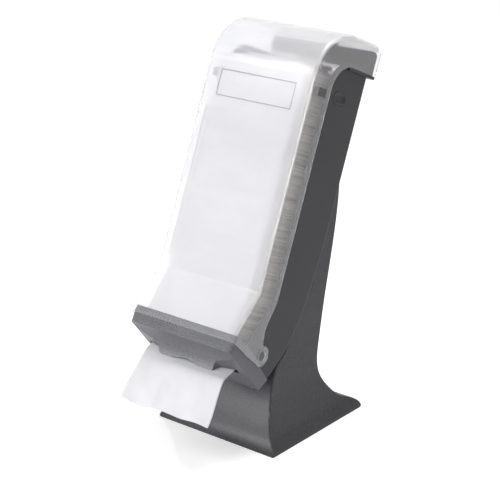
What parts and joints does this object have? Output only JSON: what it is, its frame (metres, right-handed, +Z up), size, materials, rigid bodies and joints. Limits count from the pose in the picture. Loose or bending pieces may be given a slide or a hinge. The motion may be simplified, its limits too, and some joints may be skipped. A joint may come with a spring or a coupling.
{
  "type": "napkin dispenser",
  "caption": "Leaning tower dispenser for folded paper napkins, with a hinged clear cover, a magazine with a weighted follower and a mouth in its nose, on a flared weighted pedestal",
  "frame": {"origin": "centre of the base on the surface it stands on", "axes": "+X to the right seen from the front, -Y to the front where the napkins leave, +Z up"},
  "size_m": [0.235, 0.4086, 0.6233],
  "materials": {
    "graphite_plastic": "moulded, satin with a fine metallic fleck",
    "clear_cover": "frosted clear plastic, glossy outside",
    "napkin_paper": "white embossed tissue",
    "napkin_block": "stacked folded tissue",
    "steel": "zinc plated",
    "dark_plastic": "black moulded",
    "rubber_pad": "matt non-slip pad",
    "pin_plastic": "moulded acetal"
  },
  "bodies": {
    "stand_body": {"ballast_weight": "steel", "base_pad": "rubber_pad", "base_plate": "steel", "base_screws": "steel", "faceplate": "graphite_plastic", "feed_chute": "dark_plastic", "guide_rod_left": "steel", "guide_rod_right": "steel", "hanging_napkin": "napkin_paper", "hinge_pin_left": "pin_plastic", "hinge_pin_right": "pin_plastic", "housing": "graphite_plastic", "housing_screws": "steel", "napkin_stack": "napkin_block", "pedestal": "graphite_plastic", "rod_bracket_high": "dark_plastic", "rod_bracket_low": "dark_plastic"},
    "cover_body": {"cover": "clear_cover", "latch_hook_left": "dark_plastic", "latch_hook_right": "dark_plastic"},
    "button_left_body": {"release_button_left": "graphite_plastic"},
    "button_right_body": {"release_button_right": "graphite_plastic"},
    "follower_body": {"follower_plate": "dark_plastic", "follower_weight": "steel", "follower_handle": "dark_plastic", "follower_bush_left": "pin_plastic", "follower_bush_right": "pin_plastic"}
  },
  "joints": [
    {"name": "cover_hinge", "type": "hinge", "parent": "stand_body", "child": "cover_body", "pos_m": [0, -0.12729, 0.17029], "axis": [1, 0, 0], "range_deg": [0, 105], "deforming": ["hanging_napkin"]},
    {"name": "follower_slide", "type": "slide", "parent": "stand_body", "child": "follower_body", "axis": [0, 0.3907, 0.9205], "range_m": [-0.278, 0.006], "deforming": ["napkin_stack"]},
    {"name": "release_left", "type": "slide", "parent": "stand_body", "child": "button_left_body", "axis": [1, 0, 0], "range_m": [0, 0.003], "stiffness_N_per_m": 600, "springref_m": -0.001},
    {"name": "release_right", "type": "slide", "parent": "stand_body", "child": "button_right_body", "axis": [-1, 0, 0], "range_m": [0, 0.003], "stiffness_N_per_m": 600, "springref_m": -0.001}
  ]
}
